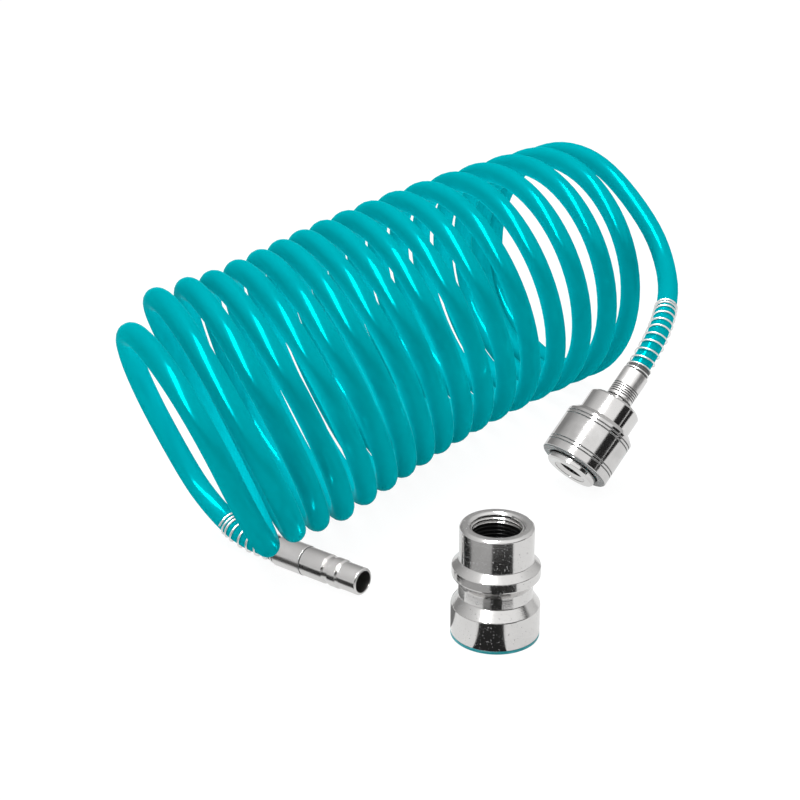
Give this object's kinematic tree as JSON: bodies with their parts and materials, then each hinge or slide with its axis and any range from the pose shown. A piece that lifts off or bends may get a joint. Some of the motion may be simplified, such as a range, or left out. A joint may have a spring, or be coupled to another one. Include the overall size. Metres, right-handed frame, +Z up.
{
  "type": "coiled air hose",
  "caption": "Coiled polyurethane air hose with spring guards, a male plug, a quick coupler with sliding sleeve and valve, and a loose threaded adapter.",
  "frame": {"origin": "on the plane that the hose lies on, below the middle of the whole part's box", "axes": "+Z up, +X along the coil from the plug's end to the coupler's end"},
  "size_m": [0.2744, 0.1778, 0.1015],
  "materials": {
    "hose": "gloss",
    "nickel": "polished",
    "spring_steel": "bright",
    "ball_steel": "polished",
    "seal": "matte",
    "adapter_seal": "satin",
    "valve": "satin"
  },
  "bodies": {
    "hose": {"hose_coil": "hose", "hose_tail_plug": "hose", "plug_pin": "nickel", "plug_hose_nut": "nickel", "plug_spring_guard": "spring_steel"},
    "coupler": {"hose_tail_coupler": "hose", "coupler_spring_guard": "spring_steel", "coupler_hose_nut": "nickel", "coupler_rear_body": "nickel", "coupler_front_body": "nickel", "coupler_front_ring": "nickel", "sleeve_stop_ring": "spring_steel", "valve_seat_seal": "seal", "coupler_body_seal": "seal", "sleeve_spring": "spring_steel", "valve_spring": "spring_steel"},
    "sleeve": {"release_sleeve": "nickel"},
    "valve": {"valve_poppet": "valve"},
    "ball_1": {"locking_ball_1": "ball_steel"},
    "ball_2": {"locking_ball_2": "ball_steel"},
    "ball_3": {"locking_ball_3": "ball_steel"},
    "ball_4": {"locking_ball_4": "ball_steel"},
    "adapter": {"adapter_body": "nickel", "adapter_base_seal": "adapter_seal"}
  },
  "joints": [
    {"name": "coil_stretch", "type": "slide", "parent": "hose", "child": "coupler", "axis": [1, 0, 0], "range_m": [0, 0.6], "stiffness_N_per_m": 40, "deforming": ["hose_coil"]},
    {"name": "sleeve_slide", "type": "slide", "parent": "coupler", "child": "sleeve", "axis": [0.7343, -0.1477, 0.6626], "range_m": [0, 0.003], "stiffness_N_per_m": 2000, "springref_m": -0.004, "deforming": ["sleeve_spring"]},
    {"name": "valve_slide", "type": "slide", "parent": "coupler", "child": "valve", "axis": [0.7343, -0.1477, 0.6626], "range_m": [0, 0.004], "stiffness_N_per_m": 1000, "springref_m": -0.003, "deforming": ["valve_spring"]},
    {"name": "ball_1_slide", "type": "slide", "parent": "coupler", "child": "ball_1", "axis": [0.5239, 0.7439, -0.4148], "range_m": [0, 0.0008]},
    {"name": "ball_2_slide", "type": "slide", "parent": "coupler", "child": "ball_2", "axis": [-0.4317, 0.6517, 0.6236], "range_m": [0, 0.0008]},
    {"name": "ball_3_slide", "type": "slide", "parent": "coupler", "child": "ball_3", "axis": [-0.5239, -0.7439, 0.4148], "range_m": [0, 0.0008]},
    {"name": "ball_4_slide", "type": "slide", "parent": "coupler", "child": "ball_4", "axis": [0.4317, -0.6517, -0.6236], "range_m": [0, 0.0008]},
    {"name": "adapter_lift", "type": "slide", "parent": "hose", "child": "adapter", "axis": [0, 0, 1], "range_m": [0, 0.06]}
  ],
  "couplings": [
    {"joint": "ball_1_slide", "follows": "sleeve_slide", "ratio": 0.26666},
    {"joint": "ball_2_slide", "follows": "sleeve_slide", "ratio": 0.26666},
    {"joint": "ball_3_slide", "follows": "sleeve_slide", "ratio": 0.26666},
    {"joint": "ball_4_slide", "follows": "sleeve_slide", "ratio": 0.26666}
  ]
}
